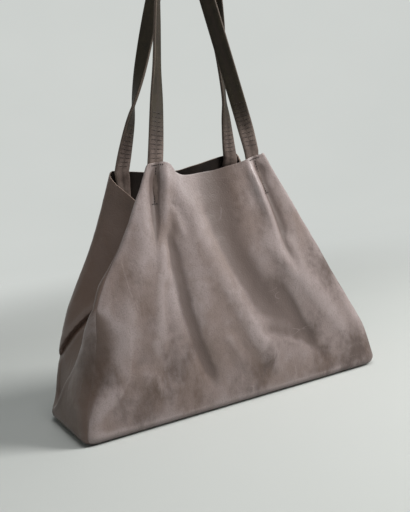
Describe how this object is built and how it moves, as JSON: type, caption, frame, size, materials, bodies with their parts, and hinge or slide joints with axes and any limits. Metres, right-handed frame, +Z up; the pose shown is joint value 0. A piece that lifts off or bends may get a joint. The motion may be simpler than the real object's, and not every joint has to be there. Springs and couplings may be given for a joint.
{
  "type": "leather tote bag",
  "caption": "Slouchy trapeze tote bag in taupe waxed leather, with an open mouth, folded-in gussets, sewn tucks and folded shoulder handles that swing.",
  "frame": {"origin": "middle of the base, on the surface that the bag stands on", "axes": "+Z up towards the handles, the front panel faces -Y, +X along the bag's long side, to the right as seen from the front"},
  "size_m": [0.468, 0.178, 0.6423],
  "materials": {
    "front_panel": "waxed pull-up leather, soft grain, satin",
    "back_panel": "waxed pull-up leather, soft grain, satin",
    "left_gusset": "waxed pull-up leather, soft grain, satin",
    "right_gusset": "waxed pull-up leather, soft grain, satin",
    "base_panel": "waxed pull-up leather, soft grain, satin",
    "front_left_strap_end": "folded waxed leather strip, satin",
    "front_right_strap_end": "folded waxed leather strip, satin",
    "back_left_strap_end": "folded waxed leather strip, satin",
    "back_right_strap_end": "folded waxed leather strip, satin",
    "front_handle": "folded waxed leather strip, satin",
    "back_handle": "folded waxed leather strip, satin",
    "front_left_tuck_stitching": "waxed sewing thread, matte",
    "front_left_bar_tack": "waxed sewing thread, matte",
    "front_left_cross_stitching": "waxed sewing thread, matte",
    "front_right_tuck_stitching": "waxed sewing thread, matte",
    "front_right_bar_tack": "waxed sewing thread, matte",
    "front_right_cross_stitching": "waxed sewing thread, matte",
    "back_left_tuck_stitching": "waxed sewing thread, matte",
    "back_left_bar_tack": "waxed sewing thread, matte",
    "back_left_cross_stitching": "waxed sewing thread, matte",
    "back_right_tuck_stitching": "waxed sewing thread, matte",
    "back_right_bar_tack": "waxed sewing thread, matte",
    "back_right_cross_stitching": "waxed sewing thread, matte",
    "front_handle_left_seam_stitching": "waxed sewing thread, matte",
    "front_handle_right_seam_stitching": "waxed sewing thread, matte",
    "back_handle_left_seam_stitching": "waxed sewing thread, matte",
    "back_handle_right_seam_stitching": "waxed sewing thread, matte"
  },
  "bodies": {
    "bag_body": {"front_panel": "front_panel", "back_panel": "back_panel", "left_gusset": "left_gusset", "right_gusset": "right_gusset", "base_panel": "base_panel", "front_left_strap_end": "front_left_strap_end", "front_right_strap_end": "front_right_strap_end", "back_left_strap_end": "back_left_strap_end", "back_right_strap_end": "back_right_strap_end", "front_left_tuck_stitching": "front_left_tuck_stitching", "front_left_bar_tack": "front_left_bar_tack", "front_left_cross_stitching": "front_left_cross_stitching", "front_right_tuck_stitching": "front_right_tuck_stitching", "front_right_bar_tack": "front_right_bar_tack", "front_right_cross_stitching": "front_right_cross_stitching", "back_left_tuck_stitching": "back_left_tuck_stitching", "back_left_bar_tack": "back_left_bar_tack", "back_left_cross_stitching": "back_left_cross_stitching", "back_right_tuck_stitching": "back_right_tuck_stitching", "back_right_bar_tack": "back_right_bar_tack", "back_right_cross_stitching": "back_right_cross_stitching"},
    "front_handle": {"front_handle": "front_handle", "front_handle_left_seam_stitching": "front_handle_left_seam_stitching", "front_handle_right_seam_stitching": "front_handle_right_seam_stitching"},
    "back_handle": {"back_handle": "back_handle", "back_handle_left_seam_stitching": "back_handle_left_seam_stitching", "back_handle_right_seam_stitching": "back_handle_right_seam_stitching"}
  },
  "joints": [
    {"name": "front_handle_swing", "type": "hinge", "parent": "bag_body", "child": "front_handle", "pos_m": [0, -0.05617, 0.342], "axis": [1, 0, 0], "range_deg": [0, 165]},
    {"name": "back_handle_swing", "type": "hinge", "parent": "bag_body", "child": "back_handle", "pos_m": [0, 0.04329, 0.336], "axis": [-1, 0, 0], "range_deg": [0, 165]}
  ]
}
